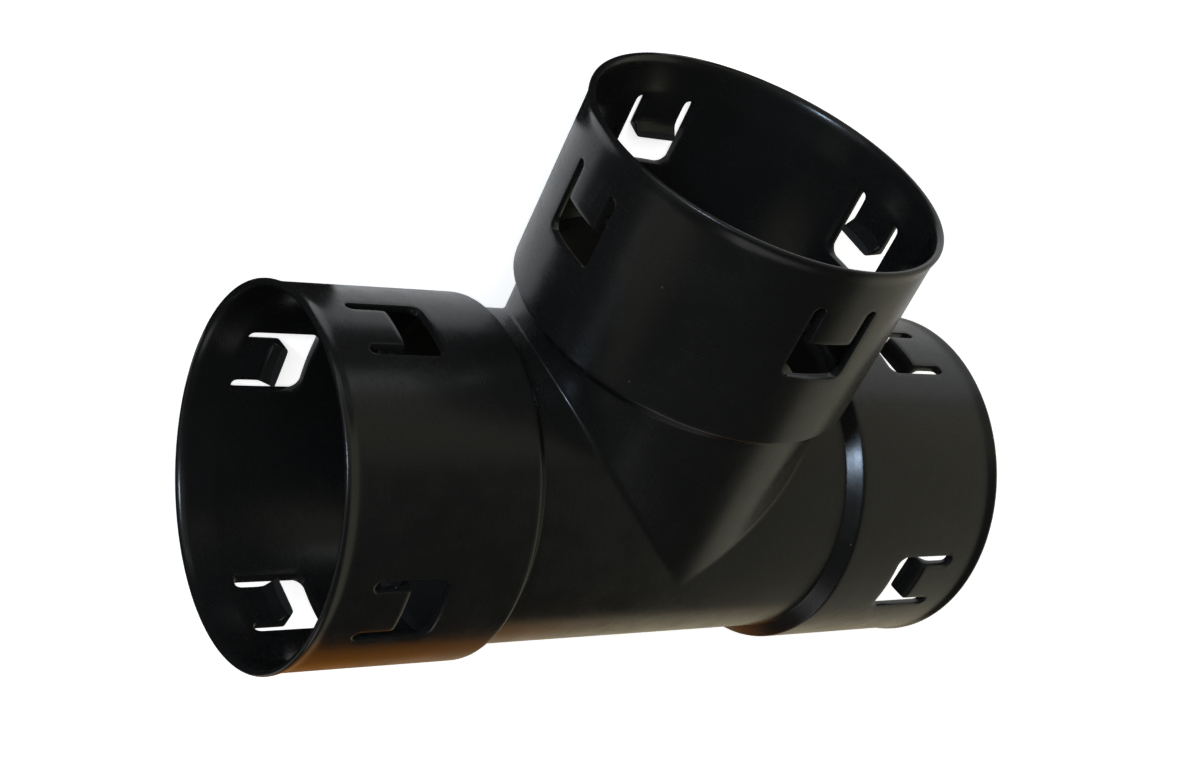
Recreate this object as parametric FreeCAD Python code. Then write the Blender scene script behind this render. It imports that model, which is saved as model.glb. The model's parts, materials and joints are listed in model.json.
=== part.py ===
import FreeCAD, Part
import math
import os

from FreeCAD import Vector

# Corrugated drain pipe that each socket takes, and the socket round it (millimetres)
PIPE_DIAMETER = 100.0
BORE_CLEARANCE = 0.3
SOCKET_WALL = 2.7
SOCKET_DEPTH = 57.0

# Mouth of each socket: a wider land inside, which guides the pipe in, and a raised lip outside
LAND_CLEARANCE = 0.9
LAND_LENGTH = 8.0
LAND_TAPER = 1.5
LIP_HEIGHT = 0.7
LIP_FLANK = 3.0
LIP_CHAMFER = 0.9

# Shoulder between a socket and the narrower body, with the pipe stop inside it
STOP_STEP = 3.8
SHOULDER_LENGTH = 3.0
SHOULDER_OFFSET = 1.7

# Body: three equal tubes that cross, each with a short neck left clear before its shoulder
BODY_WALL = 2.5
NECK_LENGTH = 6.3
CREASE_RADIUS = 1.2

# Windows in a socket's wall, each with a snap tongue that hangs from its mouth side
WINDOWS_PER_SOCKET = 4
WINDOW_START = 13.0
WINDOW_LENGTH = 23.0
WINDOW_CORNER_RADIUS = 2.8
TONGUE_LENGTH = 11.1
TONGUE_WIDTH = 14.6
SLOT_WIDTH = 3.7
CATCH_HEIGHT = 4.4
CATCH_RAMP = 2.6

# Arms by their angle about the upright: the run's outlet, the branch and the run's inlet
ARM_ANGLES = (0, 90, 180)

BORE_RADIUS = PIPE_DIAMETER / 2 + BORE_CLEARANCE
LAND_RADIUS = PIPE_DIAMETER / 2 + LAND_CLEARANCE
SOCKET_RADIUS = BORE_RADIUS + SOCKET_WALL
LIP_RADIUS = SOCKET_RADIUS + LIP_HEIGHT
WATERWAY_RADIUS = BORE_RADIUS - STOP_STEP
BODY_RADIUS = WATERWAY_RADIUS + BODY_WALL

# Places along an arm, from the crossing of the axes out to the mouth
SHOULDER_START = BODY_RADIUS + NECK_LENGTH
SHOULDER_END = SHOULDER_START + SHOULDER_LENGTH
MOUTH = SHOULDER_END + SHOULDER_OFFSET + SOCKET_DEPTH
STOP_END = MOUTH - SOCKET_DEPTH
STOP_START = STOP_END - SHOULDER_LENGTH
LAND_END = MOUTH - LAND_LENGTH
LIP_END = MOUTH - LIP_CHAMFER
LIP_START = LIP_END - LIP_FLANK
WINDOW_NEAR = MOUTH - WINDOW_START
WINDOW_FAR = WINDOW_NEAR - WINDOW_LENGTH
TONGUE_END = WINDOW_NEAR - TONGUE_LENGTH

CROSSING = Vector(0, 0, 0)
ALONG = Vector(1, 0, 0)
UP = Vector(0, 0, 1)
CLOSE = 1e-4


def turned(shape, axis, angles):
    """Copies of a shape turned about an axis through the crossing, one for each angle."""
    copies = []
    for angle in angles:
        copy = shape.copy()
        copy.rotate(CROSSING, axis, angle)
        copies.append(copy)
    return copies


def crossed_arms(half_section):
    """Solid of three equal arms, each turned from (along, radius) corners that end at the mouth."""
    corners = [Vector(along, radius, 0) for along, radius in half_section]
    face = Part.Face(Part.makePolygon([CROSSING] + corners + [CROSSING]))
    arms = turned(face.revolve(CROSSING, ALONG, 360), UP, ARM_ANGLES)
    return arms[0].multiFuse(arms[1:]).removeSplitter()


def outer_form():
    """Outside of the tee: body tubes, shoulders and lipped sockets, with the creases rounded."""
    form = crossed_arms([
        (0, BODY_RADIUS),
        (SHOULDER_START, BODY_RADIUS),
        (SHOULDER_END, SOCKET_RADIUS),
        (LIP_START, SOCKET_RADIUS),
        (LIP_END, LIP_RADIUS),
        (MOUTH, LIP_RADIUS - LIP_CHAMFER),
        (MOUTH, 0),
    ])
    return form.makeFillet(CREASE_RADIUS, [edge for edge in form.Edges if is_crease(edge)])


def is_crease(edge):
    """True for an edge that lies on the run's body tube and on the branch's."""
    middle = edge.valueAt((edge.FirstParameter + edge.LastParameter) / 2)
    off_run = math.hypot(middle.y, middle.z) - BODY_RADIUS
    off_branch = math.hypot(middle.x, middle.z) - BODY_RADIUS
    return abs(off_run) < CLOSE and abs(off_branch) < CLOSE


def hollow():
    """Inside of the tee: waterways, pipe stops, bores and guide lands."""
    return crossed_arms([
        (0, WATERWAY_RADIUS),
        (STOP_START, WATERWAY_RADIUS),
        (STOP_END, BORE_RADIUS),
        (LAND_END - LAND_TAPER, BORE_RADIUS),
        (LAND_END, LAND_RADIUS),
        (MOUTH, LAND_RADIUS),
        (MOUTH, 0),
    ])


def upright_block(low, high, width):
    """Block across the top of the +X socket's wall, between two places along the arm."""
    inside = SOCKET_RADIUS / 2
    corner = Vector(low, -width / 2, inside)
    return Part.makeBox(high - low, width, SOCKET_RADIUS, corner)


def window():
    """Cut through the wall: a rounded window less the tongue that hangs into it."""
    block = upright_block(WINDOW_FAR, WINDOW_NEAR, TONGUE_WIDTH + 2 * SLOT_WIDTH)
    corners = [edge for edge in block.Edges if edge.tangentAt(edge.FirstParameter).cross(UP).Length < CLOSE]
    opening = block.makeFillet(WINDOW_CORNER_RADIUS, corners)
    return opening.cut(upright_block(TONGUE_END, MOUTH, TONGUE_WIDTH))


def catch():
    """Wedge inside a tongue's free end, with its ramp towards the mouth."""
    side = -TONGUE_WIDTH / 2
    tip_radius = BORE_RADIUS - CATCH_HEIGHT
    seat_radius = BORE_RADIUS + SOCKET_WALL / 2
    section = Part.makePolygon([
        Vector(TONGUE_END, side, tip_radius),
        Vector(TONGUE_END + CATCH_RAMP, side, BORE_RADIUS),
        Vector(TONGUE_END + CATCH_RAMP, side, seat_radius),
        Vector(TONGUE_END, side, seat_radius),
        Vector(TONGUE_END, side, tip_radius),
    ])
    return Part.Face(section).extrude(Vector(0, TONGUE_WIDTH, 0))


def on_every_socket(shape):
    """Copies of a shape on top of the +X socket: round that socket, and then on each arm."""
    steps = [index * 360 / WINDOWS_PER_SOCKET for index in range(WINDOWS_PER_SOCKET)]
    return [copy for placed in turned(shape, ALONG, steps) for copy in turned(placed, UP, ARM_ANGLES)]


def drain_tee():
    """The whole moulding, about the crossing of its axes."""
    tube = outer_form().cut(hollow())
    pierced = tube.cut(on_every_socket(window()))
    return pierced.multiFuse(on_every_socket(catch())).removeSplitter()


# The tee lies on the lips of its three sockets, with the middle of its base at the origin
tee = drain_tee()
tee.translate(Vector(0, (LIP_RADIUS - MOUTH) / 2, LIP_RADIUS))

os.makedirs("parts", exist_ok=True)
tee.exportStep("parts/drain_tee.step")
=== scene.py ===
import json
import math
import bmesh
import bpy
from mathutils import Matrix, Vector


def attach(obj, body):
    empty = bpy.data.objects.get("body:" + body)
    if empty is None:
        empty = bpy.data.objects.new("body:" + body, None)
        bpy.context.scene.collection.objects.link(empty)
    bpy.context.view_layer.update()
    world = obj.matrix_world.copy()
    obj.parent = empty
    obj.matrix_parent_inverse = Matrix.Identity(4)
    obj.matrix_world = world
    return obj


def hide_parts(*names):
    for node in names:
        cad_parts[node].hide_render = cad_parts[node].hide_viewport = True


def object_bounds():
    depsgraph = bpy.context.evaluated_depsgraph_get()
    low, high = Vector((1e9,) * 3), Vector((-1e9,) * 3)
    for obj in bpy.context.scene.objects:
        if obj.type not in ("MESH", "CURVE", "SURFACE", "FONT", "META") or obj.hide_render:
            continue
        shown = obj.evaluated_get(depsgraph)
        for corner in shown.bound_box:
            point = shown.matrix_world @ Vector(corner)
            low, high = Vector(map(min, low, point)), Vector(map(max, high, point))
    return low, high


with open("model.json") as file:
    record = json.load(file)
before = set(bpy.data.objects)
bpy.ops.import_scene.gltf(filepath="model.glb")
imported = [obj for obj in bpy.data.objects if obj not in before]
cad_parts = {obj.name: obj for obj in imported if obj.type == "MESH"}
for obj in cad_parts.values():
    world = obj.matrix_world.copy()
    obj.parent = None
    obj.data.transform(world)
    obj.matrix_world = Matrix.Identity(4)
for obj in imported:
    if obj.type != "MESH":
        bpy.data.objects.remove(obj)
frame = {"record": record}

cad_low, cad_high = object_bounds()


# Tee moulding: three equal sockets on a crossing body, with snap tongues in windows of the socket walls.
# Black polypropylene, injection moulded in one shot round three collapsing cores.
# Nothing is fixed to it: each pipe is pushed into a socket until the catches drop behind a rib.

MM = 0.001
outlet = next(mount for mount in frame["record"]["mounts"] if mount["name"] == "run_outlet_socket")
CROSSING = Vector((0, outlet["pos_m"][1], outlet["pos_m"][2]))

# Radii of an arm in millimetres, from the outside in
LIP_RADIUS = CROSSING.z / MM
SOCKET_RADIUS = 53.0
LAND_RADIUS = outlet["dims"]["r_mm"]
BORE_RADIUS = 50.3
BODY_RADIUS = 49.0
WATERWAY_RADIUS = 46.5
CATCH_TIP = 45.9

# Places along an arm in millimetres, from the crossing of the axes to the mouth
NECK = 53.2
SHOULDER_FOOT = 55.0
SHOULDER_TOP = 58.6
WINDOW_FAR = 81.5
TONGUE_END = 92.9
CATCH_START = 95.5
WINDOW_NEAR = 104.0
MOUTH = cad_high.x / MM

# Roundings in millimetres, and how far the tip of a catch leans into the socket
WINDOW_FAR_CORNER = 2.6
WINDOW_NEAR_CORNER = 1.3
BROKEN_EDGE = 0.3
CREASE = 0.7
CATCH_LEAN = 1.2

# Columns of faces round a socket, and how many a window and a tongue take on each side of their middle
WINDOWS = 4
COLUMNS = 88
WINDOW_COLUMNS = 3
TONGUE_COLUMNS = 2

# How near counts as the same place, in millimetres and in columns, how far apart in radius the ends of an
# edge through the wall are, and from what angle on an edge is sharp
CLOSE = 0.1
CLOSE_COLUMN = 0.3
THROUGH_WALL = 1.5
SHARP = math.radians(35)


def shoulder_radius(along):
    """Outer radius at a place along the conical shoulder."""
    share = (along - SHOULDER_FOOT) / (SHOULDER_TOP - SHOULDER_FOOT)
    return BODY_RADIUS + share * (SOCKET_RADIUS - BODY_RADIUS)


# Half section of a socket as (along, radius): up the outside, round the lip and down the bore.
# Loops set close to a corner keep it crisp when the mesh is rounded.
SHOULDER_MIDDLE = (SHOULDER_FOOT + SHOULDER_TOP) / 2
SHOULDER_LOOPS = (SHOULDER_FOOT + 0.1, SHOULDER_MIDDLE, SHOULDER_TOP - 0.45, SHOULDER_TOP - 0.15)
WALL_LOOPS = (WINDOW_FAR, 84.0, 88.5, TONGUE_END, CATCH_START, 98.6, 101.4, WINDOW_NEAR)
OUTSIDE = (
    [(along, BODY_RADIUS) for along in (NECK, SHOULDER_FOOT - 0.15, SHOULDER_FOOT)]
    + [(along, shoulder_radius(along)) for along in SHOULDER_LOOPS]
    + [(along, SOCKET_RADIUS) for along in (SHOULDER_TOP + 0.2, 60.2, 65.0, 74.0, 79.4)]
    + [(along, SOCKET_RADIUS) for along in WALL_LOOPS + (105.6, 109.5, 112.4)]
    + [(113.6, 53.12), (115.1, 53.52), (MOUTH - 0.95, LIP_RADIUS)]
)
RIM = [(MOUTH - 0.4, LIP_RADIUS - 0.14), (MOUTH - 0.06, LIP_RADIUS - 0.55), (MOUTH, LIP_RADIUS - 1.0)]
INSIDE = (
    [(MOUTH - 0.16, 52.25), (MOUTH - 0.6, 51.75), (MOUTH - 1.3, 51.35), (MOUTH - 2.4, 51.05)]
    + [(MOUTH - 4.2, LAND_RADIUS), (109.5, 50.62), (107.0, 50.4), (105.6, BORE_RADIUS)]
    + [(along, BORE_RADIUS) for along in WALL_LOOPS[::-1] + (79.4, 70.0, 62.5, 60.8)]
    + [(59.9, 50.05), (58.5, 48.4), (57.1, 46.75), (56.2, WATERWAY_RADIUS), (NECK, WATERWAY_RADIUS)]
)

bpy.ops.object.select_all(action="DESELECT")
bpy.ops.mesh.primitive_circle_add(vertices=COLUMNS, radius=BODY_RADIUS * MM, location=(NECK * MM, 0, 0),
                                  rotation=(0, math.radians(90), 0))
tee = bpy.context.object
tee.name = "tee_moulding"
bpy.ops.object.transform_apply(location=True, rotation=True, scale=True)
bpy.ops.object.mode_set(mode="EDIT")
bpy.ops.mesh.select_all(action="SELECT")
loops = OUTSIDE + RIM + INSIDE
for (last_along, last_radius), (along, radius) in zip(loops, loops[1:]):
    wider = radius / last_radius
    bpy.ops.mesh.extrude_edges_move(TRANSFORM_OT_translate={"value": ((along - last_along) * MM, 0, 0)})
    bpy.ops.transform.resize(value=(1, wider, wider), center_override=(along * MM, 0, 0))


def choose(kind, test):
    """Selects the vertices, edges or faces of the mesh in edit mode that pass a test, and nothing else."""
    bpy.ops.mesh.select_all(action="DESELECT")
    bpy.ops.mesh.select_mode(type=kind)
    mesh = bmesh.from_edit_mesh(bpy.context.edit_object.data)
    for item in {"VERT": mesh.verts, "EDGE": mesh.edges, "FACE": mesh.faces}[kind]:
        item.select_set(test(item))
    mesh.select_flush_mode()
    bmesh.update_edit_mesh(bpy.context.edit_object.data)


def middle(item):
    """Middle of an edge or a face."""
    return sum((vertex.co for vertex in item.verts), Vector()) / len(item.verts)


def turn_off(point):
    """Columns from the nearest window's middle, with the side as the sign."""
    between = COLUMNS / WINDOWS
    turn = math.atan2(point.z, point.y) / math.tau * COLUMNS
    return (turn + between / 2) % between - between / 2


def spot(point):
    """Place of a point on a socket: along the arm, off its axis, and columns from a window's middle."""
    return point.x / MM, math.hypot(point.y, point.z) / MM, abs(turn_off(point))


# Sides of the windows and tongues, which run straight through the wall where the columns fan out:
# the column that a side is on, the face of the wall by its radius, and half the width there
SIDES = (
    (WINDOW_COLUMNS, SOCKET_RADIUS, 10.45),
    (WINDOW_COLUMNS, BORE_RADIUS, 10.9),
    (TONGUE_COLUMNS, SOCKET_RADIUS, 7.35),
    (TONGUE_COLUMNS, BORE_RADIUS, 7.3),
)


def is_beside(vertex, radius, columns):
    """True for a vertex of the wall's face at that radius, on the column at a side of a window or tongue."""
    along, off_axis, _ = spot(vertex.co)
    level = WINDOW_FAR - CLOSE < along < WINDOW_NEAR + CLOSE
    return level and abs(off_axis - radius) < CLOSE and abs(turn_off(vertex.co) - columns) < CLOSE_COLUMN


for columns, radius, half_width in SIDES:
    swing = math.asin(half_width / radius) - columns * math.tau / COLUMNS
    for side in (1, -1):
        choose("VERT", lambda vertex: is_beside(vertex, radius, side * columns))
        bpy.ops.transform.rotate(value=-side * swing, orient_axis="X", center_override=(0, 0, 0))


def in_window(face):
    """True for a wall face in the open part of a window: beyond the tongue, or in a slot beside it."""
    along, _, columns = spot(middle(face))
    if along < WINDOW_FAR or along > WINDOW_NEAR or columns > WINDOW_COLUMNS:
        return False
    return along < TONGUE_END or columns > TONGUE_COLUMNS


def is_cut(edge):
    """True for an edge left open where a window was cut out, not for one at the open end of the neck."""
    return edge.is_boundary and spot(middle(edge))[0] > WINDOW_FAR - CLOSE


def is_catch_tip(vertex):
    """True for a vertex at the free end of a tongue, on the inside of the wall."""
    along, off_axis, columns = spot(vertex.co)
    at_end = abs(along - TONGUE_END) < CLOSE and columns < TONGUE_COLUMNS + CLOSE_COLUMN
    return at_end and off_axis < BORE_RADIUS + CLOSE


def is_towards(point, facing):
    """True for a point of the wall on the side of the axis that faces that way."""
    return point.dot(facing) > BORE_RADIUS / 2 * MM


# Windows cut out and walled round, with the inside of each tongue's end drawn down to the flat tip of a catch
choose("FACE", in_window)
bpy.ops.mesh.delete(type="FACE")
for index in range(WINDOWS):
    turn = index * math.tau / WINDOWS
    facing = Vector((0, math.cos(turn), math.sin(turn)))
    choose("EDGE", lambda edge: is_cut(edge) and is_towards(middle(edge), facing))
    bpy.ops.mesh.bridge_edge_loops()
    choose("VERT", lambda vertex: is_catch_tip(vertex) and is_towards(vertex.co, facing))
    flatten = Vector((1, 1, 1)) - Vector(map(abs, facing))
    bpy.ops.transform.resize(value=flatten, center_override=facing * CATCH_TIP * MM)
    bpy.ops.transform.translate(value=(-CATCH_LEAN * MM, 0, 0))


def is_corner(edge, along, columns):
    """True for an edge through the wall at a corner of a window."""
    places = [spot(vertex.co) for vertex in edge.verts]
    at_corner = all(abs(place[0] - along) < CLOSE and abs(place[2] - columns) < CLOSE_COLUMN
                    for place in places)
    return at_corner and abs(places[0][1] - places[1][1]) > THROUGH_WALL


def is_slot_end(edge):
    """True for an edge through the wall at the closed end of a slot beside a tongue."""
    return is_corner(edge, WINDOW_NEAR, WINDOW_COLUMNS) or is_corner(edge, WINDOW_NEAR, TONGUE_COLUMNS)


def is_window_edge(edge):
    """True for an edge to be broken: round a window, a tongue or a catch, but not up a window's corner."""
    along, _, _ = spot(middle(edge))
    level = WINDOW_FAR - CLOSE < along < WINDOW_NEAR + CLOSE
    if not level or edge.calc_face_angle(0) < SHARP:
        return False
    (low, inner, _), (high, outer, _) = [spot(vertex.co) for vertex in edge.verts]
    upright = abs(outer - inner) > THROUGH_WALL and abs(high - low) < CLOSE
    return not upright or abs(along - TONGUE_END) < CLOSE


choose("EDGE", lambda edge: is_corner(edge, WINDOW_FAR, WINDOW_COLUMNS))
bpy.ops.mesh.bevel(offset=WINDOW_FAR_CORNER * MM, segments=2, affect="EDGES", clamp_overlap=False)
choose("EDGE", is_slot_end)
bpy.ops.mesh.bevel(offset=WINDOW_NEAR_CORNER * MM, segments=2, affect="EDGES", clamp_overlap=False)
choose("EDGE", is_window_edge)
bpy.ops.mesh.bevel(offset=BROKEN_EDGE * MM, segments=1, affect="EDGES", clamp_overlap=False)
bpy.ops.object.mode_set(mode="OBJECT")
rounding = tee.modifiers.new("rounding", "SUBSURF")
rounding.levels = 1
rounding.render_levels = 1
bpy.ops.object.modifier_apply(modifier=rounding.name)

# Body tube of the arm, drawn from its neck to the crossing
bpy.ops.object.mode_set(mode="EDIT")
choose("EDGE", lambda edge: edge.is_boundary)
bpy.ops.mesh.extrude_edges_move(TRANSFORM_OT_translate={"value": (-NECK * MM, 0, 0)})
bpy.ops.object.mode_set(mode="OBJECT")

# The other two arms, each a quarter turn on from the last, and all three cut off at the mitres between them
MITRES = [[(1, -1, 0)], [(1, 1, 0), (-1, 1, 0)], [(-1, -1, 0)]]
SAME_POINT = 0.005 * MM
ON_PLANE = 0.001 * MM
arms = [tee]
while len(arms) < len(MITRES):
    bpy.ops.object.duplicate()
    arms.append(bpy.context.object)
    arms[-1].rotation_euler.z = math.radians(90)
    bpy.ops.object.transform_apply(location=False, rotation=True, scale=False)
for arm, mitres in zip(arms, MITRES):
    bpy.ops.object.select_all(action="DESELECT")
    arm.select_set(True)
    bpy.context.view_layer.objects.active = arm
    bpy.ops.object.mode_set(mode="EDIT")
    for normal in mitres:
        bpy.ops.mesh.select_all(action="SELECT")
        bpy.ops.mesh.bisect(plane_co=(0, 0, 0), plane_no=normal, clear_inner=True, threshold=ON_PLANE)
    bpy.ops.object.mode_set(mode="OBJECT")
for arm in arms:
    arm.select_set(True)
bpy.context.view_layer.objects.active = tee
bpy.ops.object.join()
bpy.ops.object.mode_set(mode="EDIT")
bpy.ops.mesh.select_all(action="SELECT")
bpy.ops.mesh.remove_doubles(threshold=SAME_POINT)
bpy.ops.mesh.normals_make_consistent(inside=False)


def is_by_mitre(face, side, normal):
    """True for a face between the branch and that end of the run, on the normal's side of the mitre."""
    centre = middle(face)
    return centre.y > 0 and side * centre.x > 0 and centre.dot(normal) > 0


def is_crease(edge):
    """True for an edge on the outside where the branch's tube meets the run's."""
    on_mitre = all(abs(abs(vertex.co.x) - vertex.co.y) < 2 * SAME_POINT for vertex in edge.verts)
    centre = middle(edge)
    outside = math.hypot(centre.y, centre.z) > (BODY_RADIUS + WATERWAY_RADIUS) / 2 * MM
    return on_mitre and outside and edge.calc_face_angle(0) > math.radians(10)


# A line on each side of the mitres holds the form of the tubes where the crease between them is rounded
MITRE_LINE = 1.5
for side in (1, -1):
    for inward in (1, -1):
        normal = Vector((side * inward, -inward, 0)).normalized()
        choose("FACE", lambda face: is_by_mitre(face, side, normal))
        bpy.ops.mesh.bisect(plane_co=normal * MITRE_LINE * MM, plane_no=normal, threshold=ON_PLANE)
choose("EDGE", is_crease)
bpy.ops.mesh.bevel(offset=CREASE * MM, segments=4, affect="EDGES", clamp_overlap=True)
bpy.ops.mesh.select_all(action="SELECT")
bpy.ops.transform.translate(value=CROSSING)
bpy.ops.object.mode_set(mode="OBJECT")
bpy.ops.object.shade_smooth_by_angle(angle=math.radians(32))


def linear(code):
    """Linear colour of an sRGB hex code."""
    parts = [int(code[start:start + 2], 16) / 255 for start in (1, 3, 5)]
    return [part / 12.92 if part <= 0.04045 else ((part + 0.055) / 1.055) ** 2.4 for part in parts] + [1]


def add(tree, kind, inputs=None, **settings):
    """Adds a node, sets it up, and gives each named input its value or links it to another node's output."""
    node = tree.nodes.new(kind)
    for name, value in settings.items():
        setattr(node, name, value)
    for name, value in (inputs or {}).items():
        if isinstance(value, bpy.types.NodeSocket):
            tree.links.new(value, node.inputs[name])
        else:
            node.inputs[name].default_value = value
    return node


# Moulded black polypropylene: deep black with a satin shine, faintly uneven as the melt flowed, with fine
# rings from the turned mould, an orange-peel skin, dull rubbed patches, paler edges where the skin is worn
# and a few grains of dust. The waterway, on the core side of the mould, is left rough.
plastic = bpy.data.materials.new("moulded_black_polypropylene")
plastic.use_nodes = True
tree = plastic.node_tree
tree.nodes.clear()
place = add(tree, "ShaderNodeTexCoord").outputs["Object"]
axes = add(tree, "ShaderNodeSeparateXYZ", {0: place})

# Colour: flow clouds, worn edges and dust
clouds = add(tree, "ShaderNodeTexNoise", {"Vector": place, "Scale": 1 / (25 * MM), "Detail": 4.0})
corners = add(tree, "ShaderNodeNewGeometry").outputs["Pointiness"]
edge = add(tree, "ShaderNodeMapRange", {"Value": corners, "From Min": 0.53, "From Max": 0.62,
                                        "To Min": 0.0, "To Max": 0.5})
specks = add(tree, "ShaderNodeTexVoronoi", {"Vector": place, "Scale": 1 / (16 * MM)})
speck = add(tree, "ShaderNodeMapRange", {"Value": specks.outputs["Distance"], "From Min": 0.022,
                                         "From Max": 0.012, "To Min": 0.0, "To Max": 0.5})
base = add(tree, "ShaderNodeMix", {0: clouds.outputs["Fac"], 6: linear("#0e0e0e"), 7: linear("#141414")},
           data_type="RGBA")
worn = add(tree, "ShaderNodeMix", {0: edge.outputs["Result"], 6: base.outputs[2], 7: linear("#262625")},
           data_type="RGBA")
dusty = add(tree, "ShaderNodeMix", {0: speck.outputs["Result"], 6: worn.outputs[2], 7: linear("#5a5954")},
            data_type="RGBA")

# Gloss: rubbed patches and the rings of the mould, which lie square to the axis of each arm
on_branch = add(tree, "ShaderNodeMath", {0: axes.outputs["Y"], 1: CROSSING.y + NECK * MM},
                operation="GREATER_THAN")
along_arm = add(tree, "ShaderNodeMix", {0: on_branch.outputs[0], 2: axes.outputs["X"], 3: axes.outputs["Y"]})
rings = add(tree, "ShaderNodeTexNoise", {"W": along_arm.outputs[0], "Scale": 1 / (0.9 * MM), "Detail": 2.0},
            noise_dimensions="1D")
rubbed = add(tree, "ShaderNodeTexNoise", {"Vector": place, "Scale": 1 / (9 * MM), "Detail": 6.0,
                                          "Roughness": 0.65})
dull = add(tree, "ShaderNodeMapRange", {"Value": rubbed.outputs["Fac"], "From Min": 0.35, "From Max": 0.7,
                                        "To Min": 0.19, "To Max": 0.28})
gloss = add(tree, "ShaderNodeMath", {0: rings.outputs["Fac"], 1: 0.06, 2: dull.outputs["Result"]},
            operation="MULTIPLY_ADD")

# Waterway, left rough: what lies within a radius of the run's axis, or of the branch's on its own side
ROUGH_WITHIN = 48.0
ROUGH = 0.7
centred = add(tree, "ShaderNodeVectorMath", {0: place, 1: CROSSING}, operation="SUBTRACT")
off_axes = []
for across in ((0, 1, 1), (1, 0, 1)):
    flat = add(tree, "ShaderNodeVectorMath", {0: centred.outputs[0], 1: across}, operation="MULTIPLY")
    length = add(tree, "ShaderNodeVectorMath", {0: flat.outputs[0]}, operation="LENGTH")
    off_axes.append(length.outputs["Value"])
off_run, off_branch = off_axes
nearer = add(tree, "ShaderNodeMath", {0: off_run, 1: off_branch}, operation="MINIMUM")
branch_side = add(tree, "ShaderNodeMath", {0: axes.outputs["Y"], 1: CROSSING.y}, operation="GREATER_THAN")
off_axis = add(tree, "ShaderNodeMix", {0: branch_side.outputs[0], 2: off_run, 3: nearer.outputs[0]})
inside = add(tree, "ShaderNodeMath", {0: off_axis.outputs[0], 1: ROUGH_WITHIN * MM}, operation="LESS_THAN")
finish = add(tree, "ShaderNodeMix", {0: inside.outputs[0], 2: gloss.outputs[0], 3: ROUGH})

# Skin: the rings again, with orange peel over them
peel = add(tree, "ShaderNodeTexNoise", {"Vector": place, "Scale": 1 / (1.6 * MM), "Detail": 2.0})
turned = add(tree, "ShaderNodeBump", {"Height": rings.outputs["Fac"], "Distance": 0.004 * MM,
                                      "Strength": 1.0})
skin = add(tree, "ShaderNodeBump", {"Height": peel.outputs["Fac"], "Distance": 0.008 * MM, "Strength": 1.0,
                                    "Normal": turned.outputs["Normal"]})
surface = add(tree, "ShaderNodeBsdfPrincipled", {"Base Color": dusty.outputs[2], "IOR": 1.49,
                                                 "Roughness": finish.outputs[0],
                                                 "Normal": skin.outputs["Normal"]})
add(tree, "ShaderNodeOutputMaterial", {"Surface": surface.outputs["BSDF"]})
tee.data.materials.append(plastic)
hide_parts("drain_tee")
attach(tee, "root")


# Studio floor: a wide sheet of white paper that the tee lies on.
# It is white to the eye out to its far end, faint in the plastic's gloss, and keeps the tee's soft shadow.

GLOSS_GLOW = 0.2
bpy.ops.object.select_all(action="DESELECT")
bpy.ops.mesh.primitive_plane_add(size=6.0, location=(0, 0, 0))
floor = bpy.context.object
floor.name = "studio_floor"
paper = bpy.data.materials.new("matt_white_paper")
paper.use_nodes = True
tree = paper.node_tree
tree.nodes.clear()
rays = add(tree, "ShaderNodeLightPath")
place = add(tree, "ShaderNodeTexCoord").outputs["Object"]
distance = add(tree, "ShaderNodeVectorMath", {0: place}, operation="LENGTH")
whiteness = add(tree, "ShaderNodeMapRange", {"Value": distance.outputs["Value"], "From Min": 0.6,
                                             "From Max": 2.4, "To Min": 0.75, "To Max": 1.0})
faint = add(tree, "ShaderNodeMath", {0: rays.outputs["Is Glossy Ray"], 1: GLOSS_GLOW}, operation="MULTIPLY")
strength = add(tree, "ShaderNodeMath", {0: rays.outputs["Is Camera Ray"], 1: whiteness.outputs["Result"],
                                        2: faint.outputs[0]}, operation="MULTIPLY_ADD")
white = add(tree, "ShaderNodeEmission", {"Color": linear("#ffffff"), "Strength": strength.outputs[0]})
matt = add(tree, "ShaderNodeBsdfDiffuse", {"Color": linear("#e6e6e6")})
both = add(tree, "ShaderNodeAddShader", {0: white.outputs[0], 1: matt.outputs[0]})
add(tree, "ShaderNodeOutputMaterial", {"Surface": both.outputs[0]})
floor.data.materials.append(paper)


# Cards: two black ones on the paper, at the left and before the branch, and two boards of pale oak, one
# lying and one standing, beyond the foot of the tee. They are out of the picture and show only in the
# plastic's gloss: the black ones are painted shade there, and the boards glow with a painted reflection.

ABOVE_PAPER = 2 * MM


def set_card(name, size, location, turn):
    """Sets up a card, turned about its long side, that shows only in reflections."""
    bpy.ops.object.select_all(action="DESELECT")
    bpy.ops.mesh.primitive_plane_add(size=1.0, location=location, rotation=(math.radians(turn), 0, 0))
    card = bpy.context.object
    card.name = name
    card.scale = (size[0], size[1], 1)
    bpy.ops.object.transform_apply(location=True, rotation=True, scale=True)
    card.visible_camera = False
    card.visible_diffuse = False
    card.visible_shadow = False
    return card


# Painted shade: a dim near-black glow that the plastic's gloss shows in place of the paper's shade by the tee
painted_shade_sheet = bpy.data.materials.new("painted_shade_in_gloss")
painted_shade_sheet.use_nodes = True
tree = painted_shade_sheet.node_tree
tree.nodes.clear()
glow = add(tree, "ShaderNodeEmission", {"Color": linear("#202020"), "Strength": 1.0})
add(tree, "ShaderNodeOutputMaterial", {"Surface": glow.outputs[0]})
for card in (set_card("painted_shade_card", (1.1, 0.6), (-0.635, 0, ABOVE_PAPER), 0),
             set_card("near_painted_shade_card", (0.135, 0.26), (-0.0175, 0.192, ABOVE_PAPER), 0)):
    card.data.materials.append(painted_shade_sheet)
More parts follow.
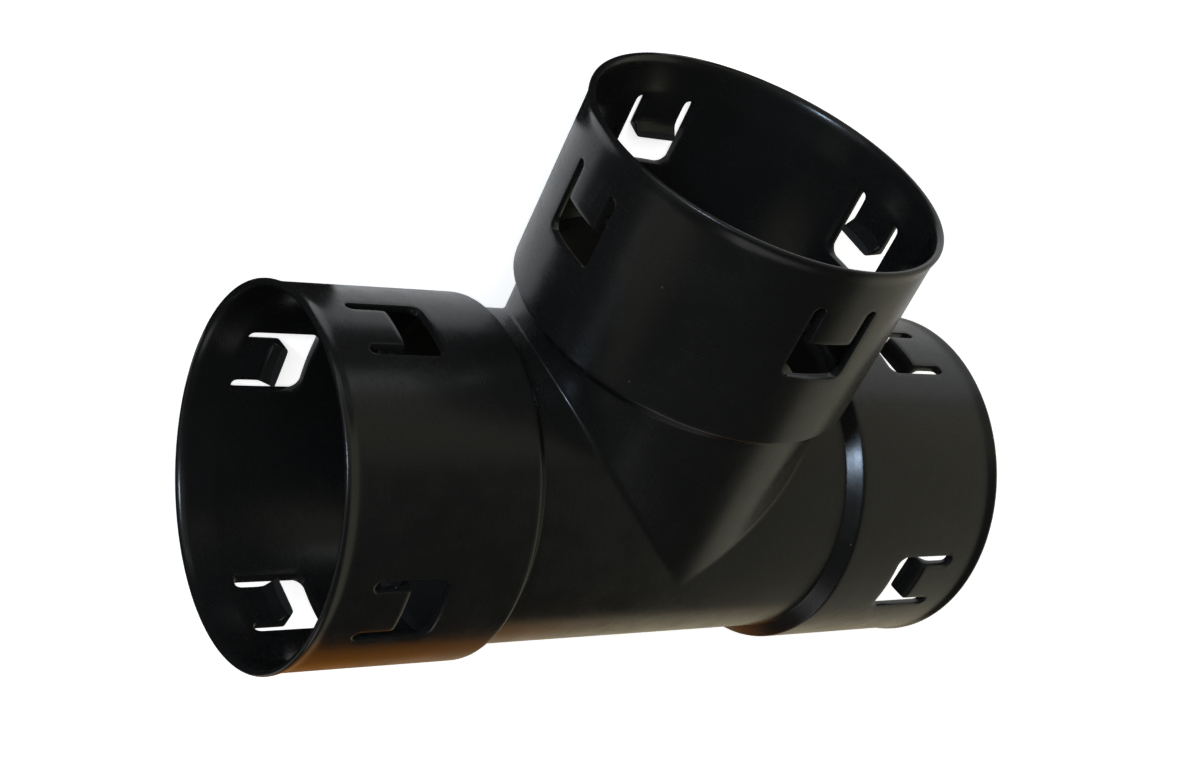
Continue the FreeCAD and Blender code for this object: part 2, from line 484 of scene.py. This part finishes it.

# Painted reflection of oiled oak: a glow, orange brown at the left as if in warm light, paler and greyer
# to the right as if daylight fell on it
painted_wood_reflection = bpy.data.materials.new("painted_reflection_of_wood")
painted_wood_reflection.use_nodes = True
tree = painted_wood_reflection.node_tree
tree.nodes.clear()
place = add(tree, "ShaderNodeTexCoord").outputs["Object"]
across = add(tree, "ShaderNodeVectorMath", {0: place, 1: (1.0, 0.74, 0.0)}, operation="DOT_PRODUCT")
daylit = add(tree, "ShaderNodeMapRange", {"Value": across.outputs["Value"], "From Min": -0.22,
                                          "From Max": -0.06})
tone = add(tree, "ShaderNodeMix", {0: daylit.outputs["Result"], 6: linear("#b06c22"), 7: linear("#c6bb9f")},
           data_type="RGBA")
glow = add(tree, "ShaderNodeEmission", {"Color": tone.outputs[2], "Strength": 1.0})
add(tree, "ShaderNodeOutputMaterial", {"Surface": glow.outputs[0]})
for board in (set_card("lying_board", (0.785, 0.9), (0.3075, -0.57, ABOVE_PAPER), 0),
              set_card("standing_board", (1.1, 0.3), (0.55, -1.02, 0.15), 90)):
    board.data.materials.append(painted_wood_reflection)


# Lamps: a large soft key beside the camera, too diffuse to show in the gloss, a small cool one like a window,
# and a faint panel behind the tee. The room is dim apart from three pale walls, so the black stays black.

def hang_softbox(name, way, distance, size, radiance, colour):
    """Hangs a softbox that way from the crossing and turned to it, with a given radiance over its face."""
    lamp = bpy.data.lights.new(name, "AREA")
    lamp.shape = "RECTANGLE"
    lamp.size, lamp.size_y = size
    lamp.energy = radiance * math.pi * size[0] * size[1]
    lamp.color = linear(colour)[:3]
    softbox = bpy.data.objects.new(name, lamp)
    way = Vector(way).normalized()
    softbox.location = CROSSING + way * distance
    softbox.rotation_euler = way.to_track_quat("Z", "Y").to_euler()
    softbox.visible_camera = False
    bpy.context.scene.collection.objects.link(softbox)
    return softbox


key = hang_softbox("key_softbox", (-0.48, 0.6, 0.64), 1.5, (1.0, 1.0), 5.0, "#ffffff")
key.visible_glossy = False
hang_softbox("window_softbox", (-0.76, 0.52, 0.39), 1.6, (0.22, 0.22), 56.0, "#cbe3ff")
hang_softbox("back_softbox", (-0.15, -0.78, 0.6), 1.5, (1.2, 0.45), 0.9, "#ffffff")

# Walls of the room as (axis, share of the way at which one begins, at which it is full, level)
WALLS = (("X", 0.6, 0.72, 0.5), ("X", -0.7, -0.88, 0.25), ("Y", 0.55, 0.75, 0.24))
DIM = 0.02
room = bpy.data.worlds.new("dim_room")
room.use_nodes = True
tree = room.node_tree
tree.nodes.clear()
way = add(tree, "ShaderNodeSeparateXYZ", {0: add(tree, "ShaderNodeTexCoord").outputs["Generated"]})
level = DIM
for axis, start, end, wall_level in WALLS:
    wall = add(tree, "ShaderNodeMapRange", {"Value": way.outputs[axis], "From Min": start, "From Max": end,
                                            "To Min": 0.0, "To Max": wall_level},
               interpolation_type="SMOOTHSTEP")
    level = add(tree, "ShaderNodeMath", {0: level, 1: wall.outputs["Result"]}, operation="MAXIMUM").outputs[0]
walls = add(tree, "ShaderNodeBackground", {"Color": linear("#fffbe0"), "Strength": level})
plain = add(tree, "ShaderNodeBackground", {"Color": linear("#ffffff"), "Strength": 1.0})
view = add(tree, "ShaderNodeMixShader", {0: add(tree, "ShaderNodeLightPath").outputs["Is Camera Ray"],
                                         1: walls.outputs[0], 2: plain.outputs[0]})
add(tree, "ShaderNodeOutputWorld", {"Surface": view.outputs[0]})
bpy.context.scene.world = room
bpy.context.scene.view_settings.view_transform = "Standard"


# Camera: stands off the branch side, above the tee, turned so that the branch points up in the picture.
# Its place, turn and lens are fitted to the outline in the photograph.

CAMERA_OFFSET = Vector((-329.279, 306.005, 336.018)) * MM
CAMERA_TURN = (-45.2934, -25.9412, 25.5686)
camera = bpy.data.objects.new("camera", bpy.data.cameras.new("camera"))
camera.location = CROSSING + CAMERA_OFFSET
camera.rotation_euler = [math.radians(angle) for angle in CAMERA_TURN]
camera.data.sensor_width = 36.0
camera.data.lens = 54.812
bpy.context.scene.collection.objects.link(camera)
bpy.context.scene.camera = camera
